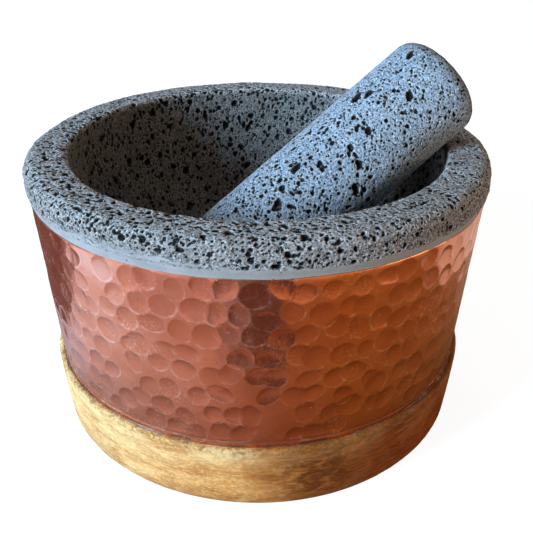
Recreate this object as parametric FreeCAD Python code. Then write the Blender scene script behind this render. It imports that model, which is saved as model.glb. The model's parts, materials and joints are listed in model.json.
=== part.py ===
"""Molcajete: a lathe-cut basalt mortar with a loose basalt pestle leaning in it.

A hammered copper band is wrapped round the stone and closed by a soldered lap seam at the back.
The stone's foot is bonded into a turned wooden base, whose short spigot carries the band's lower end.

Frame: millimetres, +Z up, origin at the centre of the base's underside, on the mortar's axis.
The seam is at the back (+Y). The pestle leans towards +X, with its foot at the front left.
"""
import FreeCAD
import Part

import math
import os

from FreeCAD import Vector

OUT_FOLDER = "parts"

# Mortar stone
RIM_RADIUS = 100.0
HEIGHT = 124.0
RIM_TOP_ROUND = 5.5
RIM_BOTTOM_ROUND = 0.8
RIM_SIDE_HEIGHT = 11.0
CAVITY_RADIUS = 82.0
CAVITY_LIP_ROUND = 2.0
FOOT_RADIUS = 85.0
FOOT_HEIGHT = 22.0

# Wooden base
BASE_FOOT_RADIUS = 94.3
BASE_TOP_RADIUS = 96.8
BASE_HEIGHT = 32.0
BASE_FOOT_ROUND = 3.8
BASE_TOP_ROUND = 1.4
SPIGOT_HEIGHT = 6.0
RECESS_DEPTH = 22.0

# Copper band, a slightly tapered sheet that overlaps itself at the back
BAND_BOTTOM_RADIUS = 94.4
BAND_TOP_RADIUS = 99.0
BAND_TOP = 110.0
SHEET = 0.8
SEAM_START_DEG = 84.0
SEAM_LAP_DEG = 7.0
SEAM_RAMP_DEG = 6.0
SOLDER_FILM = 0.1
SOLDER_TOE_DEG = 0.6
SOLDER_TOE_RISE = 0.64

# Bonding layers
ADHESIVE = 1.0
BAND_GROUT = 1.2
SPIGOT_FILM = 0.1
GROUT_LIP_RADIUS = 99.1
GROUT_LIP_HOLLOW = 0.35
RESIN_LEG = 1.4
RESIN_HOLLOW = 0.18
RESIN_GAP_DEG = 0.5

# Pestle, and how it leans: tilt is above the horizontal, heading is from +X towards +Y
PESTLE_RADIUS = 22.3
PESTLE_LENGTH = 141.0
PESTLE_TIP_ROUND = 14.0
PESTLE_TOP_ROUND = 7.0
PESTLE_TILT_DEG = 32.9
PESTLE_HEADING_DEG = 26.7
PESTLE_FOOT = Vector(-26.6, -46.8, 72.4)

# Lengths closer than this are taken as equal
SAME_LENGTH = 0.01

# Heights that follow from those dimensions
RECESS_FLOOR = BASE_HEIGHT + SPIGOT_HEIGHT - RECESS_DEPTH
SPIGOT_TOP = BASE_HEIGHT + SPIGOT_HEIGHT
FOOT_BOTTOM = RECESS_FLOOR + ADHESIVE
FOOT_TOP = FOOT_BOTTOM + FOOT_HEIGHT
RIM_BOTTOM = HEIGHT - RIM_SIDE_HEIGHT
RECESS_RADIUS = FOOT_RADIUS + ADHESIVE


def band_outer(z):
    """Outer radius of the copper band's cone at height z."""
    share = (z - BASE_HEIGHT) / (BAND_TOP - BASE_HEIGHT)
    return BAND_BOTTOM_RADIUS + share * (BAND_TOP_RADIUS - BAND_BOTTOM_RADIUS)


def band_inner(z):
    """Inner radius of the copper band's cone at height z."""
    return band_outer(z) - SHEET


def body_radius(z):
    """Radius of the stone behind the band at height z."""
    return band_inner(z) - BAND_GROUT


def profile_point(radius, height):
    """A point of a turned outline, in the XZ plane."""
    return Vector(radius, 0.0, height)


def corner_arc(before, corner, after, radius):
    """Start, middle and end of the arc that rounds a corner."""
    to_before = (before - corner).normalize()
    to_after = (after - corner).normalize()
    half_angle = to_before.getAngle(to_after) / 2.0
    reach = radius / math.tan(half_angle)
    bisector = (to_before + to_after).normalize()
    centre = corner + bisector * (radius / math.sin(half_angle))
    return corner + to_before * reach, centre - bisector * radius, corner + to_after * reach


def rounded_outline(corners):
    """Edges of a closed outline of (point, rounding radius) corners; radius 0 keeps a corner sharp."""
    edges = []
    pen = None
    first = None
    count = len(corners)
    for i, (corner, radius) in enumerate(corners):
        start, end = corner, corner
        arc = None
        if radius > 0.0:
            before = corners[i - 1][0]
            after = corners[(i + 1) % count][0]
            start, middle, end = corner_arc(before, corner, after, radius)
            arc = Part.Arc(start, middle, end).toShape()
        if pen is None:
            first = start
        else:
            edges.append(Part.makeLine(pen, start))
        if arc is not None:
            edges.append(arc)
        pen = end
    edges.append(Part.makeLine(pen, first))
    return edges


def turned(edges):
    """The solid swept by a closed outline in the XZ plane, turned round the Z axis."""
    face = Part.Face(Part.Wire(edges))
    return face.revolve(Vector(0, 0, 0), Vector(0, 0, 1), 360)


def turned_corners(corners):
    """A turned solid from (radius, height, rounding) corners."""
    return turned(rounded_outline([(profile_point(r, z), q) for r, z, q in corners]))


def make_stone_bowl():
    """The mortar: rim, body behind the band, foot, and a hemispherical cavity open at the top."""
    blank = turned_corners([
        (0.0, FOOT_BOTTOM, 0.0),
        (FOOT_RADIUS, FOOT_BOTTOM, 0.0),
        (FOOT_RADIUS, FOOT_TOP, 0.0),
        (body_radius(FOOT_TOP), FOOT_TOP, 0.0),
        (body_radius(RIM_BOTTOM), RIM_BOTTOM, 0.0),
        (RIM_RADIUS, RIM_BOTTOM, RIM_BOTTOM_ROUND),
        (RIM_RADIUS, HEIGHT, RIM_TOP_ROUND),
        (0.0, HEIGHT, 0.0),
    ])
    hollow = Part.makeSphere(CAVITY_RADIUS, Vector(0, 0, HEIGHT))
    bowl = blank.cut(hollow)
    lip = [e for e in bowl.Edges if is_circle_at(e, CAVITY_RADIUS, HEIGHT)]
    return bowl.makeFillet(CAVITY_LIP_ROUND, lip)


def is_circle_at(edge, radius, height):
    """True for a horizontal circular edge of that radius at that height."""
    if edge.Degenerated:
        return False
    curve = edge.Curve
    if not isinstance(curve, Part.Circle):
        return False
    return abs(curve.Radius - radius) < SAME_LENGTH and abs(curve.Center.z - height) < SAME_LENGTH


def make_wood_base():
    """The turned base: a ledge for the band, a spigot inside the band and a recess for the stone's foot."""
    return turned_corners([
        (0.0, 0.0, 0.0),
        (BASE_FOOT_RADIUS, 0.0, BASE_FOOT_ROUND),
        (BASE_TOP_RADIUS, BASE_HEIGHT, BASE_TOP_ROUND),
        (band_inner(BASE_HEIGHT) - SPIGOT_FILM, BASE_HEIGHT, 0.0),
        (band_inner(SPIGOT_TOP) - SPIGOT_FILM, SPIGOT_TOP, 0.0),
        (RECESS_RADIUS, SPIGOT_TOP, 0.0),
        (RECESS_RADIUS, RECESS_FLOOR, 0.0),
        (0.0, RECESS_FLOOR, 0.0),
    ])


def make_foot_adhesive():
    """The adhesive bed under and around the stone's foot, which also covers the top of the spigot."""
    return turned_corners([
        (0.0, RECESS_FLOOR, 0.0),
        (RECESS_RADIUS, RECESS_FLOOR, 0.0),
        (RECESS_RADIUS, SPIGOT_TOP, 0.0),
        (band_inner(SPIGOT_TOP) - SPIGOT_FILM, SPIGOT_TOP, 0.0),
        (band_inner(FOOT_TOP) - SPIGOT_FILM, FOOT_TOP, 0.0),
        (FOOT_RADIUS, FOOT_TOP, 0.0),
        (FOOT_RADIUS, FOOT_BOTTOM, 0.0),
        (0.0, FOOT_BOTTOM, 0.0),
    ])


def make_band_grout():
    """The grout sleeve between stone and band, ending in the smooth fillet seen under the rim."""
    inner_bottom = profile_point(body_radius(FOOT_TOP), FOOT_TOP)
    outer_bottom = profile_point(band_inner(FOOT_TOP), FOOT_TOP)
    outer_top = profile_point(band_inner(BAND_TOP), BAND_TOP)
    lip_bottom = profile_point(BAND_TOP_RADIUS, BAND_TOP)
    lip_top = profile_point(GROUT_LIP_RADIUS, RIM_BOTTOM)
    inner_top = profile_point(body_radius(RIM_BOTTOM), RIM_BOTTOM)
    hollow = (lip_bottom + lip_top) * 0.5 - Vector(GROUT_LIP_HOLLOW, 0, 0)
    edges = [
        Part.makeLine(inner_bottom, outer_bottom),
        Part.makeLine(outer_bottom, outer_top),
        Part.makeLine(outer_top, lip_bottom),
        Part.Arc(lip_bottom, hollow, lip_top).toShape(),
        Part.makeLine(lip_top, inner_top),
        Part.makeLine(inner_top, inner_bottom),
    ]
    return turned(edges)


def polar(radius, degrees, height):
    """A point at a radius and an angle round the Z axis."""
    angle = math.radians(degrees)
    return Vector(radius * math.cos(angle), radius * math.sin(angle), height)


def plan_arc(radius, start_deg, end_deg, height):
    """A horizontal arc round the Z axis, in either direction."""
    middle_deg = (start_deg + end_deg) / 2.0
    ends = [polar(radius, d, height) for d in (start_deg, middle_deg, end_deg)]
    return Part.Arc(*ends).toShape()


def band_outline(radius, height):
    """The band seen from above at one height: once round, then a ramp up and over its own start."""
    inner = radius - SHEET
    lap_inner = radius + SOLDER_FILM
    lap_outer = lap_inner + SHEET
    start = SEAM_START_DEG
    half_way = start + 180.0
    lap_start = start + 360.0
    ramp_start = lap_start - SEAM_RAMP_DEG
    end = lap_start + SEAM_LAP_DEG
    return Part.Wire([
        plan_arc(inner, start, half_way, height),
        plan_arc(inner, half_way, ramp_start, height),
        Part.makeLine(polar(inner, ramp_start, height), polar(lap_inner, lap_start, height)),
        plan_arc(lap_inner, lap_start, end, height),
        Part.makeLine(polar(lap_inner, end, height), polar(lap_outer, end, height)),
        plan_arc(lap_outer, end, lap_start, height),
        Part.makeLine(polar(lap_outer, lap_start, height), polar(radius, ramp_start, height)),
        plan_arc(radius, ramp_start, half_way, height),
        plan_arc(radius, half_way, start, height),
        Part.makeLine(polar(radius, start, height), polar(inner, start, height)),
    ])


def solder_outline(radius, height):
    """The solder seen from above: a film inside the lap and a small toe along the sheet's free end."""
    start = SEAM_START_DEG
    end = start + SEAM_LAP_DEG
    toe = end + SOLDER_TOE_DEG
    film = radius + SOLDER_FILM
    toe_top = film + SOLDER_TOE_RISE
    return Part.Wire([
        plan_arc(radius, start, toe, height),
        Part.makeLine(polar(radius, toe, height), polar(toe_top, end, height)),
        Part.makeLine(polar(toe_top, end, height), polar(film, end, height)),
        plan_arc(film, end, start, height),
        Part.makeLine(polar(film, start, height), polar(radius, start, height)),
    ])


def cone_loft(outline):
    """The solid between one outline at the band's lower edge and the same outline at its upper edge."""
    bottom = outline(BAND_BOTTOM_RADIUS, BASE_HEIGHT)
    top = outline(BAND_TOP_RADIUS, BAND_TOP)
    return Part.makeLoft([bottom, top], True, True)


def make_resin_fillet():
    """The bead of clear resin where the band stands on the base's ledge, left out across the seam."""
    corner = profile_point(BAND_BOTTOM_RADIUS, BASE_HEIGHT)
    toe = profile_point(BAND_BOTTOM_RADIUS + RESIN_LEG, BASE_HEIGHT)
    top = profile_point(band_outer(BASE_HEIGHT + RESIN_LEG), BASE_HEIGHT + RESIN_LEG)
    knee = (toe + top) * 0.5 - Vector(RESIN_HOLLOW, 0, RESIN_HOLLOW)
    section = Part.Face(Part.makePolygon([corner, toe, knee, top, corner]))
    start = SEAM_START_DEG + SEAM_LAP_DEG + SOLDER_TOE_DEG + RESIN_GAP_DEG
    end = SEAM_START_DEG + 360.0 - SEAM_RAMP_DEG - RESIN_GAP_DEG
    ring = section.revolve(Vector(0, 0, 0), Vector(0, 0, 1), end - start)
    ring.rotate(Vector(0, 0, 0), Vector(0, 0, 1), start)
    return ring


def make_pestle():
    """The pestle: a stone cylinder with a blunt round tip, leaning on the rim with its tip in the cavity."""
    upright = turned_corners([
        (0.0, 0.0, 0.0),
        (PESTLE_RADIUS, 0.0, PESTLE_TIP_ROUND),
        (PESTLE_RADIUS, PESTLE_LENGTH, PESTLE_TOP_ROUND),
        (0.0, PESTLE_LENGTH, 0.0),
    ])
    tilt = math.radians(PESTLE_TILT_DEG)
    heading = math.radians(PESTLE_HEADING_DEG)
    reach = math.cos(tilt)
    lean = Vector(reach * math.cos(heading), reach * math.sin(heading), math.sin(tilt))
    turn = FreeCAD.Rotation(Vector(0, 0, 1), lean)
    upright.Placement = FreeCAD.Placement(PESTLE_FOOT, turn)
    return upright


def build():
    """All the pieces by node name."""
    return {
        "stone_bowl": make_stone_bowl(),
        "pestle": make_pestle(),
        "copper_band": cone_loft(band_outline),
        "seam_solder": cone_loft(solder_outline),
        "band_grout": make_band_grout(),
        "wood_base": make_wood_base(),
        "foot_adhesive": make_foot_adhesive(),
        "resin_fillet": make_resin_fillet(),
    }


os.makedirs(OUT_FOLDER, exist_ok=True)
for node, shape in build().items():
    shape.exportStep(os.path.join(OUT_FOLDER, node + ".step"))
    valid = "valid" if shape.isValid() else "NOT VALID"
    print(node, valid, len(shape.Solids), "solid(s)", round(shape.Volume / 1000.0, 2), "cm3")
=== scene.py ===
"""Looks of the molcajete: pitted basalt, hammered copper, turned wood, grout, solder and clear resin.

Every visible piece is a regular grid of points. Most are turned surfaces, carved by stamps (pores, chips,
hammer marks) and by solid noise. Lengths are metres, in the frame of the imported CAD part: +Z up, front at -Y.
"""

import itertools
import json
import math
from collections import namedtuple

import bpy
import numpy as np
from mathutils import Matrix, Vector


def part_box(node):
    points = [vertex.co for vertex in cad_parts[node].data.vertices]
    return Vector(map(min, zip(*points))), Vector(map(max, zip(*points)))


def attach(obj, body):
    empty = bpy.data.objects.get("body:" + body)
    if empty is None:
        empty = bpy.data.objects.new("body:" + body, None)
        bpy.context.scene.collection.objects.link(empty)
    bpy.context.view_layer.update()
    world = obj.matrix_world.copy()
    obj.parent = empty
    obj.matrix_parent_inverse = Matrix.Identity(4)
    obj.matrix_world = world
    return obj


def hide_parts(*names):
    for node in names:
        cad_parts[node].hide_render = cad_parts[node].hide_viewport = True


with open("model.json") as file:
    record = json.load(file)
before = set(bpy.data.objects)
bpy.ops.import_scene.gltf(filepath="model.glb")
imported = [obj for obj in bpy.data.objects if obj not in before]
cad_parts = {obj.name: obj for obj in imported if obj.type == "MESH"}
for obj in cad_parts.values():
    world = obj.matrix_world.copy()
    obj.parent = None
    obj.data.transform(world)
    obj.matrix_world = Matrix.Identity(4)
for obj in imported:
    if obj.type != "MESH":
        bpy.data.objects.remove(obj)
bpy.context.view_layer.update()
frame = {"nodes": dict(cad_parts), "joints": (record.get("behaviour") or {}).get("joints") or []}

MM = 0.001
TAU = 2.0 * math.pi
COARSEN = 1.0


# -------------------- sizes read from the CAD frame

SAME_LEVEL = 0.02 * MM


def mesh_points(node):
    """All the vertices of a CAD node, as rows of x, y, z."""
    mesh = frame["nodes"][node].data
    points = np.zeros(len(mesh.vertices) * 3, np.float32)
    mesh.vertices.foreach_get("co", points)
    return points.reshape(-1, 3).astype(float)


def radii_at(node, height):
    """Smallest and largest radius of a CAD node's vertices at a height, on the front half, off the seam."""
    points = mesh_points(node)
    level = (np.abs(points[:, 2] - height) < SAME_LEVEL) & (points[:, 1] < 0.0)
    radii = np.hypot(points[level, 0], points[level, 1])
    return float(radii.min()), float(radii.max())


def lowest(node):
    """Height of a CAD node's lowest point."""
    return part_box(node)[0].z


def highest(node):
    """Height of a CAD node's highest point."""
    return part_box(node)[1].z


RIM_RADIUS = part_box("stone_bowl")[1].x
RIM_TOP = highest("stone_bowl")
RIM_LOW = highest("band_grout")
STONE_LOW = lowest("stone_bowl")
HEEL_TOP = highest("foot_adhesive")
FOOT_RADIUS = radii_at("stone_bowl", STONE_LOW)[1]
HEEL_RADIUS = radii_at("stone_bowl", HEEL_TOP)[1]
NECK_RADIUS = radii_at("stone_bowl", RIM_LOW)[0]
LIP_RADIUS = radii_at("stone_bowl", RIM_TOP)[0]
LIP_ROUND = 2.0 * MM
CAVITY_RADIUS = math.hypot(LIP_RADIUS, LIP_ROUND) - LIP_ROUND
RIM_ROUND = 5.5 * MM
RIM_LOW_ROUND = 0.8 * MM

BAND_LOW = lowest("copper_band")
BAND_TOP = highest("copper_band")
BAND_LOW_IN, BAND_LOW_OUT = radii_at("copper_band", BAND_LOW)
BAND_TOP_IN, BAND_TOP_OUT = radii_at("copper_band", BAND_TOP)
SHEET = BAND_TOP_OUT - BAND_TOP_IN
SEAM_START = math.radians(84.0)
SEAM_LAP = math.radians(7.0)
SEAM_RAMP = math.radians(6.0)
SOLDER_FILM = 0.1 * MM
SOLDER_TOE = math.radians(0.6)
RESIN_GAP = math.radians(0.5)

BASE_FOOT_ROUND = 3.8 * MM
BASE_TOP_ROUND = 1.4 * MM
BASE_FLAT_RADIUS = radii_at("wood_base", 0.0)[1]
BASE_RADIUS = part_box("wood_base")[1].x
SPIGOT_TOP = highest("wood_base")
RECESS_RADIUS, SPIGOT_RADIUS = radii_at("wood_base", SPIGOT_TOP)
RECESS_FLOOR = lowest("foot_adhesive")

PESTLE_AXIS = Vector(frame["joints"][0]["axis"]).normalized()
PESTLE_TIP_ROUND = 14.0 * MM
PESTLE_TOP_ROUND = 7.0 * MM


def pestle_place():
    """The pestle's foot centre, radius and length, from its CAD node."""
    points = mesh_points("pestle")
    axis = np.array(PESTLE_AXIS)
    along = points @ axis
    off_axis = points - np.outer(along, axis)
    middle = (off_axis.min(0) + off_axis.max(0)) / 2.0
    radius = np.linalg.norm(off_axis - middle, axis=1).max()
    return Vector(middle + axis * along.min()), float(radius), float(along.max() - along.min())


PESTLE_FOOT, PESTLE_RADIUS, PESTLE_LENGTH = pestle_place()


# -------------------- noise and outlines

NOISE_TABLE = np.random.default_rng(7).uniform(-1.0, 1.0, 4096)
NOISE_PRIMES = (73856093, 19349663, 83492791)
SEED_SHIFT = 17.31
OCTAVE_SHRINK = 2.1
OCTAVE_FADE = 0.5


def solid_noise(points, cell, seed):
    """Smooth random values in -1..1 at 3-D points, with features about a cell across."""
    scaled = points / cell + seed * SEED_SHIFT
    base = np.floor(scaled).astype(np.int64)
    share = scaled - base
    share = share * share * (3.0 - 2.0 * share)
    total = np.zeros(points.shape[:-1])
    for corner in itertools.product((0, 1), repeat=3):
        key = np.zeros(points.shape[:-1], np.int64)
        weight = np.ones(points.shape[:-1])
        for i, step in enumerate(corner):
            key ^= (base[..., i] + step) * NOISE_PRIMES[i]
            weight *= share[..., i] if step else 1.0 - share[..., i]
        total += weight * NOISE_TABLE[key % len(NOISE_TABLE)]
    return total


def fractal_noise(points, cell, seed, octaves=3):
    """Solid noise with finer and weaker layers added."""
    layers = range(octaves)
    return sum(solid_noise(points, cell / OCTAVE_SHRINK ** k, seed + k) * OCTAVE_FADE ** k for k in layers)


def relief(points, *layers):
    """Layers of noise added up. Each is its height and feature size in mm, its seed and its octaves."""
    return sum(height * MM * fractal_noise(points, cell * MM, *rest) for height, cell, *rest in layers)


def smooth(value, low, high):
    """0 below low, 1 above high, and an eased step between them."""
    share = np.clip((value - low) / (high - low), 0.0, 1.0)
    return share * share * (3.0 - 2.0 * share)


def line_of(value, middle, half_width):
    """1 at the middle, falling off on both sides."""
    return np.exp(-((value - middle) / half_width) ** 2)


def straight(start, end, step):
    """Points from start towards end, at most a step apart, without the end itself."""
    count = max(1, math.ceil(math.dist(start, end) / (step * COARSEN)))
    share = np.arange(count)[:, None] / count
    return (1.0 - share) * np.array(start) + share * np.array(end)


def chain(*stops):
    """Points along straight runs, given as corners with a step in mm between each two, without the last."""
    runs = zip(stops[::2], stops[1::2], stops[2::2])
    return np.concatenate([straight(start, end, step * MM) for start, step, end in runs])


def bend(centre, radius, start_deg, end_deg, step):
    """Points along an arc in the (radius, height) plane, without its last one."""
    sweep = math.radians(end_deg - start_deg)
    count = max(2, math.ceil(abs(sweep) * radius / (step * COARSEN)))
    angle = math.radians(start_deg) + sweep * np.arange(count) / count
    return np.stack([centre[0] + radius * np.cos(angle), centre[1] + radius * np.sin(angle)], 1)


def leftwards(theta):
    """1 at the far left of the mortar, 0 at its front and back, -1 at its far right."""
    return -np.cos(theta)


# -------------------- turned surfaces

class Turned:
    """A surface turned round the Z axis: rows follow an outline of (radius, height), columns go round.

    The outline runs up the outside and has the solid on its left. It ends at the axis at both ends, or is
    a closed loop. lift moves a point along the surface's normal and carve takes depth off. out moves it
    away from the axis and rise upwards. ragged bends the outlines of pores and hammer marks, and marks are
    values that the materials read.
    """

    def __init__(self, parts, pitch, loop=False, start=0.0, sweep=TAU):
        outline = np.concatenate(parts)
        self.loop = loop
        self.wrap = abs(sweep - TAU) < 1e-9
        self.radius = outline[:, 0]
        self.height = outline[:, 1]
        self.columns = round(sweep * self.radius.max() / (pitch * COARSEN))
        self.pitch = sweep / (self.columns if self.wrap else self.columns - 1)
        self.start = start
        self.theta = start + np.arange(self.columns) * self.pitch
        closed = np.concatenate([outline[-1:], outline, outline[:1]])
        tangent = closed[2:] - closed[:-2]
        if not loop:
            tangent[0] = (1.0, 0.0)
            tangent[-1] = (-1.0, 0.0)
        tangent /= np.linalg.norm(tangent, axis=1)[:, None]
        self.normal = np.stack([tangent[:, 1], -tangent[:, 0]], 1)
        steps = np.linalg.norm(np.diff(outline, axis=0), axis=1)
        self.along = np.concatenate([[0.0], np.cumsum(steps)])
        grids = np.zeros((5, len(outline), self.columns))
        self.lift, self.carve, self.out, self.rise, self.ragged = grids
        self.marks = {}

    def points(self):
        """The surface's points as they are now, in rows and columns."""
        depth = self.lift - self.carve
        radius = self.radius[:, None] + self.normal[:, :1] * depth + self.out
        height = self.height[:, None] + self.normal[:, 1:] * depth + self.rise
        return np.stack([radius * np.cos(self.theta), radius * np.sin(self.theta), height], -1)

    def mark(self, name):
        """The grid of values a material reads under a name."""
        return self.marks.setdefault(name, np.zeros(self.lift.shape))

    def along_at(self, radius, height):
        """Distance along the outline of its point nearest to a given one."""
        return self.along[np.argmin(np.hypot(self.radius - radius, self.height - height))]

    def fade(self, first, last):
        """0 to 1 between two distances along the outline."""
        return smooth(self.along, first, last)[:, None]

    def climb(self, low, high):
        """0 to 1 between two heights."""
        return smooth(self.height, low, high)[:, None]

    def window(self, place, angle, reach, turn=0.0):
        """Grid points within reach of a place: index, distance along and distance across, both turned."""
        rows = np.flatnonzero(np.abs(self.along - place) < reach)
        if len(rows) == 0:
            return None
        narrowest = max(self.radius[rows].min(), reach)
        half = int(reach / narrowest / self.pitch) + 1
        middle = round((angle - self.start) / self.pitch)
        columns = np.arange(middle - half, middle + half + 1)
        if not self.wrap:
            columns = columns[(columns >= 0) & (columns < self.columns)]
        if len(columns) == 0:
            return None
        across = np.outer(self.radius[rows], columns * self.pitch + self.start - angle)
        along = np.repeat((self.along[rows] - place)[:, None], len(columns), 1)
        turned_along = along * math.cos(turn) + across * math.sin(turn)
        turned_across = across * math.cos(turn) - along * math.sin(turn)
        return np.ix_(rows, columns % self.columns), turned_along, turned_across

    def scatter(self, rng, density, first, last, rings=200):
        """Random places, evenly spread by area between two distances along the outline."""
        along = np.linspace(first, last, rings)
        ring = TAU * np.interp(along, self.along, self.radius)
        area = np.concatenate([[0.0], np.cumsum((ring[1:] + ring[:-1]) / 2.0 * np.diff(along))])
        count = int(density * area[-1])
        places = np.interp(rng.uniform(0.0, area[-1], count), area, along)
        return places, rng.uniform(0.0, TAU, count)


# -------------------- pores and chips in stone

# number to a square metre, radii and depths in mm, power of the radii's spread, share kept at the right
Pores = namedtuple("Pores", "density smallest largest power right_share")
Chips = namedtuple("Chips", "density sizes depths")

PORE_LOBES = 0.08
PORE_RAGGEDNESS = 0.30
PORE_STRETCH = (1.0, 1.30)
PORE_DEPTH = (0.85, 1.35)
PORE_CROWD = 0.5
PORE_MARGIN = 0.6 * MM
PORE_RIM_WIDTH = 0.4 * MM
PIT_EDGE = 1.06
PIT_SOFTNESS = 0.35
SMALL_PORE = 0.4 * MM
LARGE_PORE = 1.0 * MM
SMALL_PORE_DARKNESS = 0.76


def stamp_pore(surface, place, angle, size, depth, stretch, turn, crowd):
    """Carves one gas bubble: an angular hollow with steep walls, unless it meets one marked above crowd."""
    found = surface.window(place, angle, size * stretch * max(PORE_STRETCH) + PORE_MARGIN, turn)
    if found is None:
        return
    index, along, across = found
    lobes = 1.0 + PORE_LOBES * np.sin(3.0 * np.arctan2(across, along) + 7.0 * turn)
    reach = np.hypot(along / (size * stretch), across * stretch / size) * lobes
    reach += PORE_RAGGEDNESS * surface.ragged[index]
    pit = surface.mark("pit")
    if np.any((reach < 1.0) & (pit[index] > crowd)):
        return
    hollow = depth * np.sqrt(np.clip(1.0 - reach ** 2, 0.0, None))
    surface.carve[index] = np.maximum(surface.carve[index], hollow)
    # pit darkens the pore as painted shade, less for small pores.
    darkness = SMALL_PORE_DARKNESS + (1.0 - SMALL_PORE_DARKNESS) * smooth(size, SMALL_PORE, LARGE_PORE)
    pit[index] = np.maximum(pit[index], darkness * np.clip((PIT_EDGE - reach) / PIT_SOFTNESS, 0.0, 1.0))
    # edge: a paler ring round the pore, partly rubbed stone and partly painted highlight.
    edge = surface.mark("edge")
    ring = 1.0 - np.abs((reach - 1.0) * size - PORE_RIM_WIDTH / 2.0) / PORE_RIM_WIDTH
    edge[index] = np.maximum(edge[index], np.clip(ring, 0.0, 1.0))


def scatter_pores(surface, rng, pores, first, last):
    """Covers part of a surface with separate pores, largest first. The right may get fewer and smaller."""
    places, angles = surface.scatter(rng, pores.density, first, last)
    rank = rng.uniform(0.0, 1.0, len(places))
    spread = 1.0 - (pores.smallest / pores.largest) ** pores.power
    sizes = np.sort(pores.smallest * MM * (1.0 - rank * spread) ** (-1.0 / pores.power))[::-1]
    for place, angle, size in zip(places, angles, sizes):
        stretch = rng.uniform(*PORE_STRETCH)
        depth = size * rng.uniform(*PORE_DEPTH)
        turn = rng.uniform(0.0, TAU)
        share = 1.0 - (1.0 - pores.right_share) * smooth(math.cos(angle), -0.2, 0.8)
        if rng.uniform() < share:
            stamp_pore(surface, place, angle, size * share, depth * share, stretch, turn, PORE_CROWD)


def scatter_chips(surface, rng, chips, first, last):
    """Knocks shallow flakes off part of a surface."""
    for place, angle in zip(*surface.scatter(rng, chips.density, first, last)):
        size = rng.uniform(*chips.sizes) * MM
        depth = rng.uniform(*chips.depths) * MM
        found = surface.window(place, angle, size)
        if found is not None:
            index, along, across = found
            flake = depth * np.clip(1.0 - (np.hypot(along, across) / size) ** 2, 0.0, None)
            surface.carve[index] = np.maximum(surface.carve[index], flake)


# -------------------- meshes

def build_mesh(name, points, loop, wrap, marks):
    """A smooth mesh over a grid of points, with its own UV layer. Open ends get a pole or an end face."""
    rows, columns = points.shape[:2]
    last_row = rows if loop else rows - 1
    last_column = columns if wrap else columns - 1
    i, j = np.meshgrid(np.arange(last_row), np.arange(last_column), indexing="ij")
    below, above = i * columns, (i + 1) % rows * columns
    left, right = j, (j + 1) % columns
    corners = np.stack([below + left, below + right, above + right, above + left], -1).reshape(-1, 4)
    u = np.stack([j, j + 1, j + 1, j], -1).reshape(-1, 4) / last_column
    v = np.stack([i, i, i + 1, i + 1], -1).reshape(-1, 4) / last_row
    loops = [corners.ravel()]
    uvs = [np.stack([u.ravel(), v.ravel()], 1)]
    sizes = [np.full(len(corners), 4)]
    vertices = points.reshape(-1, 3)
    values = {key: grid.ravel() for key, grid in marks.items()}
    if not loop:
        vertices, values = add_poles(points, vertices, values, loops, uvs, sizes)
    if not wrap:
        ends = [np.arange(rows) * columns, (np.arange(rows) * columns + columns - 1)[::-1]]
        for end in ends:
            loops.append(end)
            uvs.append(np.stack([np.zeros(rows), np.arange(rows) / rows], 1))
            sizes.append(np.array([rows]))
    return fill_mesh(name, vertices, *map(np.concatenate, (loops, sizes, uvs)), values)


def add_poles(points, vertices, values, loops, uvs, sizes):
    """Closes the first and last row of a grid with a fan round a centre vertex each."""
    rows, columns = points.shape[:2]
    around = np.arange(columns)
    after = (around + 1) % columns
    for row, outward in ((0, False), (rows - 1, True)):
        pole = np.full(columns, len(vertices))
        first, second = row * columns + around, row * columns + after
        fan = (first, second, pole) if outward else (second, first, pole)
        centre = points[row].mean(0)
        centre[:2] = 0.0
        vertices = np.concatenate([vertices, centre[None]])
        values = {key: np.append(grid, grid[row * columns]) for key, grid in values.items()}
        loops.append(np.stack(fan, 1).ravel())
        edge = row / (rows - 1)
        u = np.stack([around, around + 1, around + 0.5], 1) / columns
        uvs.append(np.stack([u.ravel(), np.full(3 * columns, edge)], 1))
        sizes.append(np.full(columns, 3))
    return vertices, values


def fill_mesh(name, vertices, loops, sizes, uvs, values):
    """An object with a smooth-shaded mesh from flat arrays."""
    mesh = bpy.data.meshes.new(name)
    mesh.vertices.add(len(vertices))
    mesh.vertices.foreach_set("co", vertices.astype(np.float32).ravel())
    mesh.loops.add(len(loops))
    mesh.loops.foreach_set("vertex_index", loops.astype(np.int32))
    mesh.polygons.add(len(sizes))
    starts = np.concatenate([[0], np.cumsum(sizes)[:-1]])
    mesh.polygons.foreach_set("loop_start", starts.astype(np.int32))
    mesh.polygons.foreach_set("use_smooth", np.ones(len(sizes), bool))
    mesh.update(calc_edges=True)
    layer = mesh.uv_layers.new(name="OFBake")
    layer.data.foreach_set("uv", uvs.astype(np.float32).ravel())
    for key, grid in values.items():
        attribute = mesh.attributes.new(key, "FLOAT", "POINT")
        attribute.data.foreach_set("value", grid.astype(np.float32))
    mesh.validate()
    piece = bpy.data.objects.new(name, mesh)
    bpy.context.scene.collection.objects.link(piece)
    return piece


def turned_piece(name, surface):
    """The mesh object of a turned surface."""
    return build_mesh(name, surface.points(), surface.loop, surface.wrap, surface.marks)


# -------------------- the mortar's stone

STONE_STEP = 0.34 * MM
STONE_PITCH = 0.42 * MM
POLE_RADIUS = 1.0 * MM
FLOOR_START_DEG = -60.0
FLOOR_END_DEG = -89.0


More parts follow.
